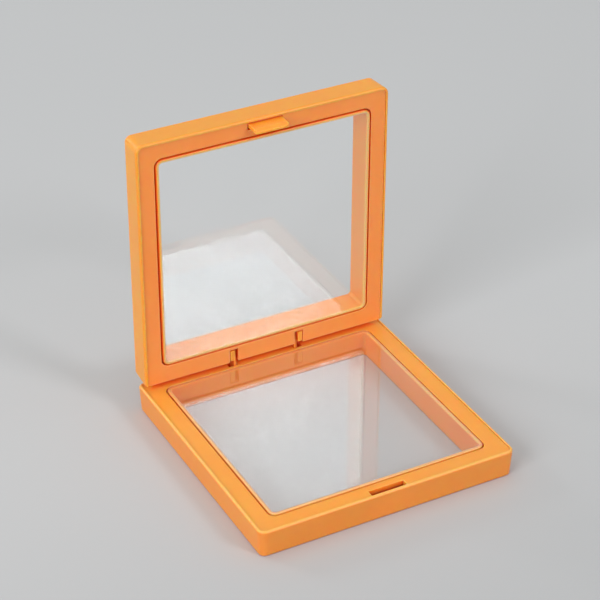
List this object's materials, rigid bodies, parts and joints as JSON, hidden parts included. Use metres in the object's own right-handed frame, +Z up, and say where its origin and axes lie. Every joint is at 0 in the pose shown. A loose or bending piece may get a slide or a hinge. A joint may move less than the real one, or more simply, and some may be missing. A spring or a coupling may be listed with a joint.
{
  "type": "hinged film display box",
  "caption": "Flat square display box: two hinged plastic frames, each with a clear stretched film over its window, standing open with the lid upright behind the base.",
  "frame": {"origin": "on the underside of the base, straight below the middle of the hinge axis", "axes": "+X along the hinge axis, +Y from the latch side to the hinge side, +Z up, with the lid standing open"},
  "size_m": [0.091, 0.0934, 0.1011],
  "materials": {
    "orange_plastic": "satin moulded",
    "clear_film": "clear, smooth"
  },
  "bodies": {
    "base": {"base_shell": "orange_plastic", "base_face_plate": "orange_plastic", "base_film": "clear_film"},
    "lid": {"lid_shell": "orange_plastic", "lid_face_plate": "orange_plastic", "lid_film": "clear_film"}
  },
  "joints": [
    {"name": "lid_hinge", "type": "hinge", "parent": "base", "child": "lid", "pos_m": [0, 0, 0.0137], "axis": [1, 0, 0], "range_deg": [0, 90]}
  ]
}
